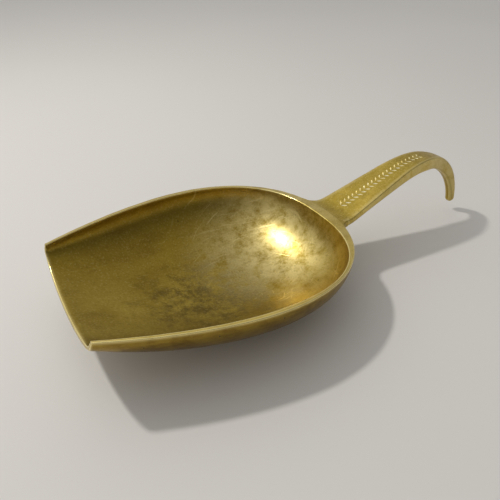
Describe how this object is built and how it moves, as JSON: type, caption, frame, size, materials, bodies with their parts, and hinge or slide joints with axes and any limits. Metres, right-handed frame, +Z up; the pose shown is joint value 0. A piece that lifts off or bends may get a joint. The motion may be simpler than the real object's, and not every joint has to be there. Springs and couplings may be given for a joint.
{
  "type": "scoop",
  "caption": "Small brass scoop with an open-fronted U-shaped bowl and a flat handle that rises, arches and turns down into a tapered hook.",
  "frame": {"origin": "on the table under the middle of the whole scoop's length and width, with the scoop standing on the small flat of its belly", "axes": "+X along the scoop from its mouth to the hook of its handle, +Y across it, +Z up"},
  "size_m": [0.149, 0.07, 0.0283],
  "materials": {
    "brass_bowl": "brushed",
    "brass_handle": "satin",
    "brass_solder": "satin"
  },
  "bodies": {
    "root": {"bowl": "brass_bowl", "handle": "brass_handle", "solder_joint": "brass_solder"}
  },
  "joints": []
}
